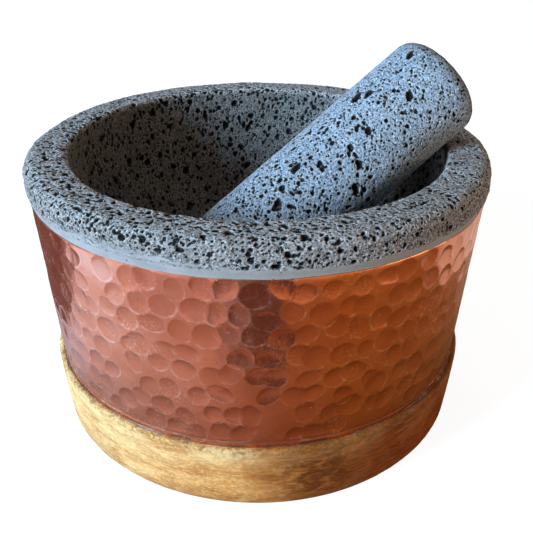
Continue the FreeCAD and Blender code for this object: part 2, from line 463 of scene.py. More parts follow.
def stone_outline():
    """The mortar's outline: hidden foot and body, rim, lip and cavity, with a coarser cavity floor."""
    lip_centre = (LIP_RADIUS, RIM_TOP - LIP_ROUND)
    lip_end = math.degrees(math.atan2(LIP_ROUND, LIP_RADIUS))
    low_centre = (RIM_RADIUS - RIM_LOW_ROUND, RIM_LOW + RIM_LOW_ROUND)
    top_centre = (RIM_RADIUS - RIM_ROUND, RIM_TOP - RIM_ROUND)
    hidden = chain(
        (POLE_RADIUS, STONE_LOW), 20.0, (FOOT_RADIUS, STONE_LOW), 10.0, (FOOT_RADIUS, HEEL_TOP), 10.0,
        (HEEL_RADIUS, HEEL_TOP), 15.0, (NECK_RADIUS, RIM_LOW), 1.0, (low_centre[0], RIM_LOW),
    )
    return [
        hidden,
        bend(low_centre, RIM_LOW_ROUND, -90, 0, STONE_STEP),
        straight((RIM_RADIUS, low_centre[1]), (RIM_RADIUS, top_centre[1]), STONE_STEP),
        bend(top_centre, RIM_ROUND, 0, 90, STONE_STEP),
        straight((top_centre[0], RIM_TOP), (LIP_RADIUS, RIM_TOP), STONE_STEP),
        bend(lip_centre, LIP_ROUND, 90, 180 - lip_end, STONE_STEP),
        bend((0.0, RIM_TOP), CAVITY_RADIUS, -lip_end, FLOOR_START_DEG, 2.0 * STONE_STEP),
        bend((0.0, RIM_TOP), CAVITY_RADIUS, FLOOR_START_DEG, FLOOR_END_DEG, 3.0 * STONE_STEP),
    ]


def grout_share(theta):
    """How far the grout spreads up the stone: widest at the left front, less at the far left."""
    left = leftwards(theta)
    return smooth(left, -0.25, 0.8) * (1.0 - 0.75 * smooth(left, 0.5, 0.85))


SIDE_PORES = Pores(300e3, 0.40, 1.5, 2.5, 0.75)
TOP_PORES = Pores(400e3, 0.44, 1.7, 2.6, 0.82)
CAVITY_PORES = Pores(190e3, 0.46, 2.0, 2.5, 1.0)
LIP_CHIPS = Chips(35e3, (0.8, 2.6), (0.3, 0.8))
SHOULDER_CHIPS = Chips(2500, (2.0, 5.0), (0.2, 0.6))
WORN_CAVITY = 12.0 * MM
CAVITY_CALM = 0.45
LIP_WIDTH = 3.0 * MM
SMEAR_FULL = 1.5 * MM
SMEAR_END = 6.5 * MM


def make_bowl():
    """The mortar with its pores, worn edges and rough side face."""
    rng = np.random.default_rng(11)
    surface = Turned(stone_outline(), STONE_PITCH)
    rim_start = surface.along_at(NECK_RADIUS, RIM_LOW)
    side_start = surface.along_at(RIM_RADIUS, RIM_LOW + RIM_LOW_ROUND)
    side_end = surface.along_at(RIM_RADIUS, RIM_TOP - RIM_ROUND)
    shoulder = surface.along_at(RIM_RADIUS - RIM_ROUND, RIM_TOP)
    lip = surface.along_at(LIP_RADIUS, RIM_TOP)
    floor_end = surface.along[-1]
    ground = surface.points()
    shown = surface.fade(rim_start + 1.0 * MM, side_start + 1.0 * MM)
    side = shown * (1.0 - surface.fade(side_end, shoulder))
    rough = relief(
        ground, (0.30, 22.0, 1, 3), (0.10 + 0.08 * side, 4.0, 5, 2), (0.11 + 0.12 * side, 1.2, 9, 2),
    )
    surface.lift += rough * shown * (1.0 - CAVITY_CALM * surface.fade(lip, lip + WORN_CAVITY))
    scatter_chips(surface, rng, LIP_CHIPS, lip - 0.8 * MM, lip + LIP_ROUND)
    scatter_chips(surface, rng, SHOULDER_CHIPS, side_end, shoulder)
    surface.ragged = fractal_noise(ground, 1.3 * MM, 61, 2)
    scatter_pores(surface, rng, SIDE_PORES, side_start, shoulder)
    scatter_pores(surface, rng, TOP_PORES, shoulder, lip + LIP_WIDTH)
    scatter_pores(surface, rng, CAVITY_PORES, lip + LIP_WIDTH, floor_end - 6.0 * MM)
    near_grout = 1.0 - surface.climb(RIM_LOW + SMEAR_FULL, RIM_LOW + SMEAR_END)
    surface.mark("smear")[:] = near_grout * grout_share(surface.theta)[None, :] * side
    # The material darkens the side face as painted shade.
    surface.mark("side")[:] = side
    # The material darkens the cavity as painted shade.
    surface.mark("cavity")[:] = surface.fade(lip + 1.0 * MM, lip + 4.0 * MM)
    return turned_piece("stone_bowl_pitted", surface)


# -------------------- the pestle

PESTLE_LOW_PORES = Pores(230e3, 0.36, 1.4, 2.4, 1.0)
PESTLE_HIGH_PORES = Pores(230e3, 0.32, 1.1, 2.6, 1.0)
PESTLE_WAIST = 0.6
PESTLE_DOME = 0.8 * MM
AXIS_GAP = 0.6 * MM
CAVITY_DEPTH = 0.8
NO_CROWD = 1.1

PESTLE_CAVITIES = (
    # distance from the foot in mm, angle round the axis in degrees, radius in mm, stretch, turn in radians
    (48.0, 50.0, 2.3, 1.25, 0.5),
    (64.0, 68.0, 2.1, 1.45, 0.3),
    (71.0, 48.0, 1.3, 1.20, 0.9),
    (76.0, 7.0, 2.1, 1.40, 1.3),
    (85.0, 45.0, 1.7, 1.20, 1.2),
    (84.5, 36.0, 1.1, 1.60, 1.5),
    (83.5, 26.0, 1.7, 1.25, 1.4),
    (95.0, 46.0, 1.7, 1.20, 0.6),
    (103.0, 87.0, 2.5, 1.30, 0.5),
    (107.0, 79.0, 1.9, 1.20, 0.2),
    (117.0, 45.0, 1.9, 1.20, 0.8),
    (131.0, 82.0, 2.0, 1.30, 0.4),
    (60.0, -140.0, 2.2, 1.30, 0.7),
    (88.0, -95.0, 2.4, 1.20, 0.2),
    (112.0, 165.0, 2.1, 1.35, 1.1),
)


def make_pestle():
    """The pestle, carved upright with its foot at the origin and then laid in its place."""
    rng = np.random.default_rng(23)
    tip = PESTLE_TIP_ROUND
    top = PESTLE_TOP_ROUND
    parts = [
        straight((AXIS_GAP, 0.0), (PESTLE_RADIUS - tip, 0.0), 0.9 * MM),
        bend((PESTLE_RADIUS - tip, tip), tip, -90, 0, 0.5 * MM),
        straight((PESTLE_RADIUS, tip), (PESTLE_RADIUS, PESTLE_LENGTH - top), 0.4 * MM),
        bend((PESTLE_RADIUS - top, PESTLE_LENGTH - top), top, 0, 90, 0.4 * MM),
        straight((PESTLE_RADIUS - top, PESTLE_LENGTH), (AXIS_GAP, PESTLE_LENGTH), 0.6 * MM),
    ]
    surface = Turned(parts, 0.4 * MM)
    ground = surface.points()
    surface.lift += relief(ground, (0.30, 26.0, 3, 3), (0.08, 4.0, 6, 2), (0.05, 1.2, 8, 2))
    on_end = smooth(PESTLE_RADIUS - surface.radius, top * 0.3, top)[:, None]
    on_end = on_end * surface.climb(PESTLE_LENGTH * PESTLE_WAIST, PESTLE_LENGTH * (PESTLE_WAIST + 0.1))
    surface.lift -= PESTLE_DOME * smooth(surface.radius, 0.0, PESTLE_RADIUS)[:, None] * on_end
    surface.ragged = fractal_noise(ground, 1.4 * MM, 63, 2)
    waist = surface.along_at(PESTLE_RADIUS, PESTLE_LENGTH * PESTLE_WAIST)
    scatter_pores(surface, rng, PESTLE_LOW_PORES, 6.0 * MM, waist)
    scatter_pores(surface, rng, PESTLE_HIGH_PORES, waist, surface.along[-1] - 3.0 * MM)
    for distance, angle_deg, radius, stretch, turn in PESTLE_CAVITIES:
        place = surface.along_at(PESTLE_RADIUS, distance * MM)
        angle = math.radians(angle_deg) % TAU
        size = radius * MM
        stamp_pore(surface, place, angle, size, size * CAVITY_DEPTH, stretch, turn, NO_CROWD)
    # The pestle's top end, which the material darkens as painted shade.
    surface.mark("end")[:] = surface.climb(PESTLE_LENGTH - 12.0 * MM, PESTLE_LENGTH - 1.0 * MM)
    piece = turned_piece("pestle_pitted", surface)
    piece.data.transform(pestle_matrix())
    return piece


def pestle_matrix():
    """From the upright pestle to its place: +Z on the axis, +X level, to the front right, and +Y upwards."""
    forward = PESTLE_AXIS
    side = forward.cross(Vector((0.0, 0.0, 1.0))).normalized()
    up = side.cross(forward).normalized()
    turn = Matrix((side, up, forward)).transposed().to_4x4()
    turn.translation = PESTLE_FOOT
    return turn


# -------------------- the hammered band and its seam

DENT_AROUND = 9.6 * MM
DENT_UP = 8.8 * MM
DENT_HALF_WIDTH = 5.1 * MM
DENT_HALF_HEIGHT = 4.8 * MM
DENT_DEPTH = 0.33 * MM
DENT_ROUNDNESS = 2.6
DENT_RAGGEDNESS = 0.09
DENT_BURR = 0.035 * MM
DENT_LINE = 0.075
ROW_WANDER = 1.3 * MM
COLUMN_WANDER = 0.14
MISSED_BLOWS = 0.05
CREASE_HEIGHT = 2.7 * MM
CREASE_HALF_WIDTH = 0.5 * MM
CREASE_DEPTH = 0.32 * MM
STRIP_WAVE = 0.22 * MM
UNHAMMERED_FOOT = 3.4 * MM
UNHAMMERED_TOP = 5.2 * MM
CURL_WIDTH = 1.6 * MM
CURL_DEPTH = 0.14 * MM
EDGE_WAVE = 0.30 * MM


def stamp_dent(surface, place, angle, width, height, depth, turn, lean):
    """One hammer mark: a shallow oval, deeper towards one side, with a crisp edge."""
    found = surface.window(place, angle, max(width, height) * 1.3, turn)
    if found is None:
        return
    index, along, across = found
    upwards = along / height
    reach = np.hypot(across / width, upwards) + DENT_RAGGEDNESS * surface.ragged[index]
    reach = np.clip(reach, 0.0, None)
    cap = depth * np.clip(1.0 - reach ** DENT_ROUNDNESS, 0.0, None) * (1.0 + lean * upwards)
    surface.carve[index] = np.maximum(surface.carve[index], cap)
    inside = np.clip((1.0 - reach) * 8.0, 0.0, 1.0)
    # Painted highlight: ridge lightens the rim, mostly its lower side; it also raises a small burr.
    ridge = line_of(reach, 1.05, DENT_LINE) * (0.12 + 0.88 * smooth(-upwards, -0.1, 0.9))
    # Painted shade: shade darkens the upper edge and the upper half of the mark.
    shade = line_of(reach, 0.93, DENT_LINE) * smooth(upwards, -0.1, 0.7)
    shade = np.maximum(shade, 0.75 * inside * smooth(upwards, -0.6, 0.9))
    # Painted shade: dent darkens the whole inside of the mark.
    dent = surface.mark("dent")
    dent[index] = np.maximum(dent[index], inside)
    for name, value in (("ridge", ridge), ("shade", shade)):
        grid = surface.mark(name)
        grid[index] = np.maximum(grid[index] * (1.0 - inside), value)


def hammer(surface, rng, low, high):
    """Covers the band with staggered rows of overlapping hammer marks."""
    rows = int((high - low) / DENT_UP)
    around = round(TAU * BAND_TOP_OUT / DENT_AROUND)
    for row, column in itertools.product(range(rows + 1), range(around)):
        place = low + (high - low) * row / rows + rng.normal(0.0, ROW_WANDER)
        angle = SEAM_START + TAU * (column + 0.5 * (row % 2) + rng.normal(0.0, COLUMN_WANDER)) / around
        width = DENT_HALF_WIDTH * rng.uniform(0.75, 1.15)
        height = DENT_HALF_HEIGHT * rng.uniform(0.75, 1.15)
        depth = DENT_DEPTH * rng.uniform(0.5, 1.3)
        turn = -rng.normal(0.25, 0.35)
        lean = rng.uniform(0.1, 0.7)
        if rng.uniform() > MISSED_BLOWS:
            stamp_dent(surface, place, angle, width, height, depth, turn, lean)


def band_offset(theta):
    """How far the sheet stands out where it climbs over its own start and laps it."""
    lap = SEAM_START + TAU
    ramp = np.clip((theta - lap + SEAM_RAMP) / SEAM_RAMP, 0.0, 1.0)
    return ramp * (SHEET + SOLDER_FILM)


def make_band():
    """The hammered sheet: one strip whose end climbs over its start at the back."""
    rng = np.random.default_rng(31)
    half = SHEET / 2.0
    parts = [
        straight((BAND_LOW_OUT, BAND_LOW), (BAND_TOP_OUT, BAND_TOP - half), 0.42 * MM),
        bend((BAND_TOP_OUT - half, BAND_TOP - half), half, 0, 180, 0.2 * MM),
        straight((BAND_TOP_IN, BAND_TOP - half), (BAND_LOW_IN, BAND_LOW), 12 * MM),
        np.array([[BAND_LOW_IN, BAND_LOW]]),
    ]
    surface = Turned(parts, 0.45 * MM, loop=True, start=SEAM_START, sweep=TAU + SEAM_LAP)
    top = surface.along_at(BAND_TOP_OUT, BAND_TOP - half)
    outside = (surface.along <= top + half)[:, None]
    surface.ragged = fractal_noise(surface.points(), 5.0 * MM, 65, 2)
    hammer(surface, rng, CREASE_HEIGHT + UNHAMMERED_FOOT, top - UNHAMMERED_TOP)
    theta = surface.theta[None, :]
    from_seam = np.minimum(theta - SEAM_START, SEAM_START + TAU + SEAM_LAP - theta)
    off_seam = smooth(from_seam, SEAM_LAP + math.radians(0.5), SEAM_LAP + math.radians(5.0))
    off_crease = surface.fade(CREASE_HEIGHT, CREASE_HEIGHT + CURL_WIDTH)
    off_top = 1.0 - 0.7 * surface.fade(top - CURL_WIDTH, top)
    surface.carve *= outside * off_crease * off_top * (0.12 + 0.88 * off_seam)
    ground = surface.points()
    swell = relief(ground, (0.16, 16.0, 2, 2), (0.05, 4.0, 4, 2))
    surface.lift += outside * off_seam * (swell + DENT_BURR * surface.mark("ridge"))
    crease = line_of(surface.along, CREASE_HEIGHT, CREASE_HALF_WIDTH)[:, None]
    surface.carve += outside * crease * CREASE_DEPTH * (0.7 + 0.3 * solid_noise(ground, 9 * MM, 12))
    strip = 1.0 - surface.fade(0.0, CREASE_HEIGHT)
    surface.lift += outside * off_seam * strip * STRIP_WAVE * solid_noise(ground, 12 * MM, 14)
    surface.carve += outside * off_seam * surface.fade(top - CURL_WIDTH, top + half) * CURL_DEPTH
    surface.out += band_offset(surface.theta)[None, :]
    level = ground * np.array([1.0, 1.0, 0.0])
    wave = EDGE_WAVE * (fractal_noise(level, 16 * MM, 15, 2) - 0.6)
    surface.rise += surface.climb(BAND_TOP - 6 * MM, BAND_TOP) * wave
    # Painted shade: the crease mark darkens the rounded top edge at the left as well as the fold at the foot.
    brim_shade = surface.fade(top - 0.5 * MM, top + 0.1 * MM) * smooth(leftwards(theta), -0.1, 0.3)
    surface.mark("crease")[:] = np.maximum(crease, brim_shade) * outside
    return turned_piece("copper_band_hammered", surface)


SOLDER_STEPS = 260
SOLDER_LUMPS = 0.35
SOLDER_SECTION = (
    # across, towards the bare side, and out, both in mm
    (-11.0, 0.0), (-11.0, 0.08), (-0.02, 0.08), (-0.02, 0.62), (0.06, 0.74), (0.2, 0.66),
    (0.42, 0.34), (0.66, 0.10), (0.86, 0.0),
)


def make_solder():
    """The lumpy toe of solder along the sheet's free end, over the film inside the lap."""
    share = np.linspace(0.0, 1.0, SOLDER_STEPS)
    height = BAND_LOW + 0.2 * MM + share * (BAND_TOP - BAND_LOW - 0.9 * MM)
    radius = BAND_LOW_OUT + (BAND_TOP_OUT - BAND_LOW_OUT) * (height - BAND_LOW) / (BAND_TOP - BAND_LOW)
    end = SEAM_START + SEAM_LAP
    line = np.stack([radius, height * 0.0, height], 1)
    lump = 1.0 + SOLDER_LUMPS * fractal_noise(line, 5 * MM, 17, 3)
    rows = []
    for across, out in SOLDER_SECTION:
        in_toe = across > 0.0
        above_film = out > SOLDER_FILM / MM
        angle = end + across * MM * (lump if in_toe else 1.0) / radius
        reach = radius + out * MM * (0.85 + 0.15 * lump if above_film else 1.0)
        rows.append(np.stack([reach * np.cos(angle), reach * np.sin(angle), height], 1))
    return build_mesh("seam_solder_bead", np.array(rows)[::-1], True, False, {})


# -------------------- the wooden base

BASE_BELLY = 0.25 * MM
BASE_SLANT_DEG = 5.0
GRAIN_STRETCH = 0.12


def make_base():
    """The turned base: a bellied side, softened edges, and the hidden spigot and recess."""
    top_centre = (BASE_RADIUS - BASE_TOP_ROUND, BAND_LOW - BASE_TOP_ROUND)
    low_centre = (BASE_FLAT_RADIUS, BASE_FOOT_ROUND)
    low_end = (low_centre[0] + BASE_FOOT_ROUND * math.cos(math.radians(BASE_SLANT_DEG)), low_centre[1])
    top_start = (top_centre[0] + BASE_TOP_ROUND, top_centre[1])
    hidden = chain(
        (top_centre[0], BAND_LOW), 0.5, (SPIGOT_RADIUS, BAND_LOW), 3.0, (SPIGOT_RADIUS, SPIGOT_TOP), 3.0,
        (RECESS_RADIUS, SPIGOT_TOP), 8.0, (RECESS_RADIUS, RECESS_FLOOR), 20.0, (POLE_RADIUS, RECESS_FLOOR),
    )
    parts = [
        straight((POLE_RADIUS, 0.0), (BASE_FLAT_RADIUS, 0.0), 2.0 * MM),
        bend(low_centre, BASE_FOOT_ROUND, -90, -BASE_SLANT_DEG, 0.5 * MM),
        straight(low_end, top_start, 0.7 * MM),
        bend(top_centre, BASE_TOP_ROUND, 0, 90, 0.35 * MM),
        hidden,
    ]
    surface = Turned(parts, 0.9 * MM)
    ground = surface.points()
    side_end = surface.along_at(BASE_RADIUS - BASE_TOP_ROUND, BAND_LOW)
    shown = 1.0 - surface.fade(side_end, side_end + 1.5 * MM)
    off_foot = surface.fade(BASE_FLAT_RADIUS, BASE_FLAT_RADIUS + BASE_FOOT_ROUND)
    belly = BASE_BELLY * np.sin(np.clip(surface.height / BAND_LOW, 0.0, 1.0) * math.pi)[:, None]
    fibres = relief(ground * np.array([GRAIN_STRETCH, 1.0, 1.0]), (0.05, 1.6, 25, 2))
    surface.lift += shown * off_foot * (belly + relief(ground, (0.22, 30.0, 21, 2)) + fibres)
    return turned_piece("wood_base_turned", surface)


# -------------------- grout and resin

GROUT_LAP = 1.2 * MM
GROUT_PROUD = 0.07 * MM


def make_grout():
    """The smoothed grout under the rim, with an uneven top edge that smears over the stone's pores."""
    low = BAND_TOP - GROUT_LAP
    body = NECK_RADIUS + 0.4 * MM
    outer = RIM_RADIUS + GROUT_PROUD
    foot = (BAND_TOP_OUT - 0.45 * MM, low)
    knee = (BAND_TOP_OUT - 0.12 * MM, BAND_TOP + 0.6 * MM)
    brow = (outer - 0.25 * MM, RIM_LOW + 0.1 * MM)
    crest = (outer, RIM_LOW + 1.0 * MM)
    back = (outer - 0.9 * MM, RIM_LOW + 1.3 * MM)
    seen = chain(foot, 0.3, knee, 0.3, brow, 0.25, crest)
    hidden = chain(crest, 0.3, back, 1.0, (body, RIM_LOW), 2.0, (body, low), 1.0, foot)
    surface = Turned([seen, hidden], 0.4 * MM, loop=True)
    level = surface.points() * np.array([1.0, 1.0, 0.0])
    spread = grout_share(surface.theta)[None, :]
    ragged = relief(level, (1.0, 8.0, 41, 3), (0.7, 2.2, 44, 3))
    edge_rise = (-0.4 + 2.5 * spread) * MM + (0.5 + 0.7 * spread) * ragged
    upper = surface.climb(BAND_TOP + 0.4 * MM, crest[1])
    surface.rise += upper * np.clip(edge_rise, -0.9 * MM, 5.0 * MM)
    surface.lift += relief(surface.points(), (0.07, 6.0, 46, 2)) * upper
    return turned_piece("band_grout_smoothed", surface)


RESIN_LEG = 1.45 * MM
RESIN_STEPS = 900
RESIN_SECTION = np.array([
    # along the ledge and up the band, as shares of the leg
    (0.0, 0.0), (0.55, 0.0), (1.0, 0.03), (0.8, 0.17), (0.55, 0.36), (0.36, 0.58), (0.2, 0.82),
    (0.1, 1.0), (0.0, 0.7), (0.0, 0.35),
])
RESIN_BEADS = (
    # bearing from the front, positive to the right, in degrees, then extra size and half width in degrees
    (-64.0, 0.35, 2.0),
    (-9.0, 0.25, 0.7),
    (24.0, 0.30, 1.0),
    (46.0, 0.60, 0.9),
    (48.5, 0.75, 0.9),
    (57.0, 0.65, 1.1),
    (60.0, 0.40, 0.8),
    (128.0, 0.55, 1.5),
    (-140.0, 0.50, 1.3),
)


def make_resin():
    """The squeezed-out bead of clear resin on the base's ledge: uneven, with beads at the sides."""
    start = SEAM_START + SEAM_LAP + SOLDER_TOE + RESIN_GAP
    sweep = TAU - SEAM_LAP - SEAM_RAMP - SOLDER_TOE - 2.0 * RESIN_GAP
    theta = start + np.linspace(0.0, sweep, int(RESIN_STEPS / COARSEN))
    ring = np.stack([np.cos(theta), np.sin(theta), theta * 0.0], 1) * BAND_LOW_OUT
    size = 0.30 + 0.10 * np.abs(np.cos(theta)) + 0.12 * fractal_noise(ring, 7 * MM, 51, 3)
    for bearing_deg, bead, half_width_deg in RESIN_BEADS:
        turn = np.radians(bearing_deg) - (theta + math.pi / 2.0)
        turn = np.arctan2(np.sin(turn), np.cos(turn))
        size += bead * line_of(turn, 0.0, math.radians(half_width_deg))
    size = RESIN_LEG * np.clip(size, 0.12, 1.25)
    reach = BAND_LOW_OUT - 0.1 * MM + RESIN_SECTION[:, :1] * size
    height = BAND_LOW - 0.05 * MM + RESIN_SECTION[:, 1:] * size
    points = np.stack([reach * np.cos(theta), reach * np.sin(theta), height], -1)
    return build_mesh("resin_fillet_bead", points, True, False, {})


# -------------------- node trees

def paint(red, green, blue):
    """A linear colour from 0..255 display values."""
    def linear(value):
        share = value / 255.0
        return share / 12.92 if share <= 0.04045 else ((share + 0.055) / 1.055) ** 2.4
    return linear(red), linear(green), linear(blue), 1.0


class Nodes:
    """A node tree under construction, with short ways to add the nodes used here."""

    def __init__(self, tree):
        self.tree = tree

    def add(self, kind, inputs=None, **settings):
        """A node with its settings, and its inputs given by name or number as values or sockets."""
        made = self.tree.nodes.new("ShaderNode" + kind)
        for key, value in settings.items():
            setattr(made, key, value)
        for key, value in (inputs or {}).items():
            self.feed(made.inputs[key], value)
        return made

    def feed(self, socket, value):
        """Links a socket to another, or sets its value."""
        if isinstance(value, bpy.types.NodeSocket):
            self.tree.links.new(value, socket)
        else:
            socket.default_value = value

    def axis(self, place, number):
        """One coordinate of a place."""
        return self.add("SeparateXYZ", {0: place}).outputs[number]

    def span(self, value, low, high, first=0.0, last=1.0):
        """Maps low..high to first..last, and holds beyond them."""
        made = self.add("MapRange", {
            "Value": value, "From Min": low, "From Max": high, "To Min": first, "To Max": last,
        })
        return made.outputs["Result"]

    def maths(self, operation, first, *others):
        """Arithmetic on two values, and then on its result and each further value."""
        for other in others:
            first = self.add("Math", {0: first, 1: other}, operation=operation).outputs[0]
        return first

    def times(self, *values):
        """The product of values."""
        return self.maths("MULTIPLY", *values)

    def plus(self, *values):
        """The sum of values."""
        return self.maths("ADD", *values)

    def mix(self, share, first, second, blend="MIX"):
        """A blend of two colours."""
        made = self.add("Mix", {0: share, 6: first, 7: second}, data_type="RGBA", blend_type=blend)
        return made.outputs[2]


class Shader(Nodes):
    """The node tree of a new material."""

    def __init__(self, name):
        self.material = bpy.data.materials.new(name)
        self.material.use_nodes = True
        super().__init__(self.material.node_tree)
        self.surface = self.tree.nodes["Principled BSDF"]
        self.place = self.add("TexCoord").outputs["Object"]
        self.normal = None

    def set(self, **inputs):
        """Inputs of the surface shader, with _ for a space in their names."""
        for key, value in inputs.items():
            self.feed(self.surface.inputs[key.replace("_", " ")], value)

    def stretched(self, level, upright=1.0):
        """Object coordinates scaled level and upright, so that what is drawn on them is stretched."""
        made = self.add("Mapping", {"Vector": self.place, "Scale": (level, level, upright)})
        return made.outputs["Vector"]

    def noise(self, cell, detail=2.0, roughness=0.5, distortion=0.0, place=None):
        """Noise of 0..1 with features about a cell, in mm, across."""
        made = self.add("TexNoise", {
            "Vector": place or self.place, "Scale": 1.0 / (cell * MM), "Detail": detail,
            "Roughness": roughness, "Distortion": distortion,
        })
        return made.outputs["Fac"]

    def dots(self, cell, radii, picked, channel=0):
        """Soft dots at some of the points scattered about a cell, in mm, apart. Radii are shares of it."""
        made = self.add("TexVoronoi", {"Vector": self.place, "Scale": 1.0 / (cell * MM)})
        chance = self.add("SeparateColor", {0: made.outputs["Color"]}).outputs[channel]
        return self.times(self.span(made.outputs["Distance"], *radii), self.span(chance, *picked))

    def mark(self, name):
        """A value stored on the mesh."""
        return self.add("Attribute", attribute_name=name).outputs["Fac"]

    def coats(self, tone, *layers):
        """Colours laid over a first one. Each is a cover, a strength, a colour and perhaps a blend."""
        for cover, strength, colour, *blend in layers:
            tone = self.mix(self.times(cover, strength), tone, colour, *blend)
        return tone

    def clouded(self, cloud, edges, pale, dark, roughness):
        """Gives the surface two colours and a changing roughness, after a noise."""
        tone = self.mix(self.span(cloud, *edges), pale, dark)
        self.set(Base_Color=tone, Roughness=self.span(cloud, 0.3, 0.7, *roughness))

    def bump(self, height, distance, strength=1.0):
        """Adds a layer of bump, its distance in mm, over the ones before it."""
        inputs = {"Height": height, "Distance": distance * MM, "Strength": strength}
        if self.normal is not None:
            inputs["Normal"] = self.normal
        made = self.add("Bump", inputs)
        self.normal = made.outputs["Normal"]
        self.set(Normal=self.normal)


# -------------------- materials

GROUT_PALE = paint(154, 145, 141)


def basalt(name, pale, deep, warm):
    """Grey vesicular basalt: grain, blotches and flecks, pinholes and pores darkened as painted shade, and
    paler pore edges, partly rubbed stone and partly painted highlight.
    """
    s = Shader(name)
    grain = s.noise(0.9, 4.0, 0.8)
    fleck = s.dots(0.95, (0.44, 0.32), (0.76, 0.82))
    fine_pinhole = s.dots(0.85, (0.38, 0.26), (0.45, 0.50), 1)
    pinhole = s.maths("MAXIMUM", fine_pinhole, s.dots(1.5, (0.38, 0.26), (0.78, 0.83), 1))
    pit = s.plus(s.mark("pit"), s.span(grain, 0.3, 0.7, -0.16, 0.16))
    smear = s.plus(s.mark("smear"), s.span(s.noise(2.4, 4.0, 0.7), 0.3, 0.7, -0.55, 0.25))
    darkened = s.times(s.mark("end"), s.span(s.noise(4, 4.0, 0.7), 0.3, 0.6, 0.5, 1.0))
    tone = s.coats(
        deep,
        (s.span(grain, 0.40, 0.60), 1.0, pale),
        (s.span(s.noise(14, 3.0), 0.46, 0.70), 0.55, warm),
        # Paler pore edges: partly rubbed stone, partly painted highlight.
        (s.mark("edge"), 0.28, paint(222, 222, 222)),
        (fleck, 0.65, paint(226, 229, 233)),
        # Painted shade: pinholes and pores darkened.
        (pinhole, 0.85, paint(34, 31, 28)),
        (s.span(pit, 0.12, 0.38), 1.0, paint(66, 58, 50)),
        (s.span(pit, 0.36, 0.80), 1.0, paint(13, 11, 9)),
        # Painted shade on the rim's side face.
        (s.mark("side"), 1.0, (0.80, 0.72, 0.67, 1.0), "MULTIPLY"),
        # Painted shade inside the cavity.
        (s.mark("cavity"), 1.0, (0.48, 0.47, 0.45, 1.0), "MULTIPLY"),
        (s.span(smear, 0.0, 0.5), 0.75, GROUT_PALE),
        # Painted shade over the pestle's top end.
        (darkened, 1.0, (0.50, 0.44, 0.36, 1.0), "MULTIPLY"),
    )
    s.set(Base_Color=tone, Roughness=s.span(grain, 0.3, 0.7, 0.78, 0.95), Specular_IOR_Level=0.3)
    s.bump(s.noise(1.1, 4.0, 0.8), 0.8)
    s.bump(s.maths("SUBTRACT", 1.0, pinhole), 0.4, 0.9)
    return s.material


def mortar_basalt():
    """The mortar's stone, with a warm tinge."""
    return basalt("mortar_basalt", paint(204, 196, 192), paint(73, 70, 68), paint(138, 127, 115))


def pestle_basalt():
    """The pestle's stone: lighter and cooler than the mortar's."""
    return basalt("pestle_basalt", paint(190, 200, 211), paint(104, 114, 127), paint(148, 150, 154))


def copper():
    """Polished hammered copper, with brown tarnish, fine scratches, specks, painted shade in the hammer marks
    and painted highlights on their lower rims.
    """
    s = Shader("hammered_copper")
    cloud = s.noise(28, 4.0, 0.6, 0.4)
    mottle = s.noise(2.2, 5.0, 0.7)
    patch = s.span(s.noise(19, 3.0, 0.6, 0.5), 0.46, 0.66)
    bloom = s.times(s.span(s.noise(1.1, 4.0, 0.75), 0.48, 0.66), patch)
    pale_cover = s.times(s.mark("ridge"), s.span(s.noise(4, 4.0, 0.7), 0.42, 0.62, 0.0, 0.62))
    crease = s.mark("crease")
    dust = s.dots(3.4, (0.075, 0.05), (0.72, 0.78))
    tone = s.coats(
        paint(224, 156, 128),
        (s.span(cloud, 0.35, 0.68), 1.0, paint(210, 138, 106)),
        # Painted shade inside the hammer marks, deepest along their upper edges.
        (s.mark("dent"), 0.14, paint(190, 112, 82)),
        (s.mark("shade"), 0.40, paint(140, 62, 30)),
        (s.span(mottle, 0.58, 0.75), 0.28, paint(150, 76, 50)),
        (bloom, 0.35, paint(246, 210, 196)),
        # Painted highlight along the hammer marks' lower rims.
        (pale_cover, 1.0, paint(255, 230, 220)),
        # Tarnish in the fold at the foot, and painted shade along the top edge at the left.
        (crease, 0.7, paint(96, 44, 28)),
        (dust, 0.7, paint(236, 214, 196)),
    )
    rough = s.plus(s.span(cloud, 0.3, 0.7, 0.15, 0.24), s.span(mottle, 0.5, 0.8, 0.0, 0.14))
    for cover, strength in ((bloom, 0.16), (pale_cover, 0.20), (crease, 0.45), (dust, 0.3)):
        rough = s.plus(rough, s.times(cover, strength))
    s.set(Base_Color=tone, Metallic=1.0, Roughness=rough)
    s.bump(s.noise(0.5, 3.0, 0.6, 0.0, s.stretched(0.08)), 0.02, 0.5)
    s.bump(s.noise(0.6, 3.0, 0.6, 0.0, s.stretched(1.0, 0.10)), 0.02, 0.35)
    s.bump(s.noise(3.2, 3.0, 0.6), 0.12, 0.5)
    return s.material


KNOT_PLACE = (24 * MM, -94 * MM, 15 * MM)


